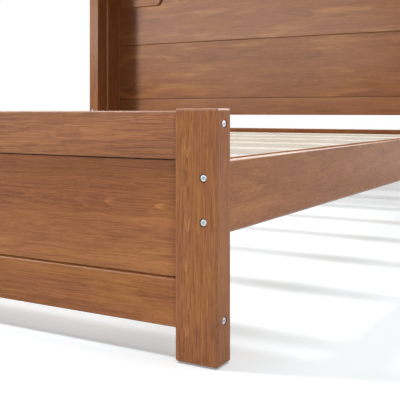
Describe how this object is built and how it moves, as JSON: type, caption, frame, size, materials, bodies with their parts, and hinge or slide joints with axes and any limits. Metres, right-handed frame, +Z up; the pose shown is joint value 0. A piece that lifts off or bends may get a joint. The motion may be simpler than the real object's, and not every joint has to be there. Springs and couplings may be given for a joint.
{
  "type": "platform bed",
  "caption": "Solid wood platform bed with a low panelled footboard, slatted deck on a legged centre beam, and a tall planked headboard between deep wings.",
  "frame": {"origin": "on the floor, at the bottom centre of the bed's box: under the middle of its width and of its length from footboard to headboard", "axes": "+X across the bed, +Y from the footboard to the headboard, +Z up from the floor"},
  "size_m": [2.02, 2.301, 1.1],
  "materials": {
    "walnut_stain": "satin walnut-brown stain and clear lacquer",
    "pale_pine": "planed, unstained",
    "beech_dowel": "turned, unfinished",
    "zinc_steel": "bright zinc plate",
    "glide_plastic": "matt moulded"
  },
  "bodies": {
    "root": {"foot_post_left": "walnut_stain", "side_rail_left": "walnut_stain", "head_post_left": "walnut_stain", "wing_outer_board_left": "walnut_stain", "wing_inner_board_left": "walnut_stain", "wing_base_left": "walnut_stain", "wing_cap_left": "walnut_stain", "headboard_batten_left": "walnut_stain", "slat_ledger_left": "pale_pine", "foot_post_right": "walnut_stain", "side_rail_right": "walnut_stain", "head_post_right": "walnut_stain", "wing_outer_board_right": "walnut_stain", "wing_inner_board_right": "walnut_stain", "wing_base_right": "walnut_stain", "wing_cap_right": "walnut_stain", "headboard_batten_right": "walnut_stain", "slat_ledger_right": "pale_pine", "footboard_top_rail": "walnut_stain", "footboard_bottom_rail": "walnut_stain", "footboard_panel": "walnut_stain", "head_cross_rail": "walnut_stain", "headboard_bottom_board": "walnut_stain", "headboard_lower_plank": "walnut_stain", "headboard_upper_plank": "walnut_stain", "headboard_crest": "walnut_stain", "headboard_cap": "walnut_stain", "headboard_batten_middle": "walnut_stain", "slat_1": "pale_pine", "slat_2": "pale_pine", "slat_3": "pale_pine", "slat_4": "pale_pine", "slat_5": "pale_pine", "slat_6": "pale_pine", "slat_7": "pale_pine", "centre_beam": "pale_pine", "centre_leg_1": "pale_pine", "centre_leg_2": "pale_pine", "centre_leg_3": "pale_pine", "rail_dowels": "beech_dowel", "cap_dowels": "beech_dowel", "leg_studs": "zinc_steel", "beam_hanger": "zinc_steel", "side_rail_foot_bolts": "zinc_steel", "side_rail_head_bolts": "zinc_steel", "footboard_bolts": "zinc_steel", "cross_rail_bolts": "zinc_steel", "wing_bolts": "zinc_steel", "barrel_nuts": "zinc_steel", "slat_screws": "zinc_steel", "ledger_screws": "zinc_steel", "wing_screws": "zinc_steel", "batten_screws": "zinc_steel", "crest_screws": "zinc_steel", "hanger_screws": "zinc_steel", "post_glides": "glide_plastic", "levelling_feet": "glide_plastic"}
  },
  "joints": []
}
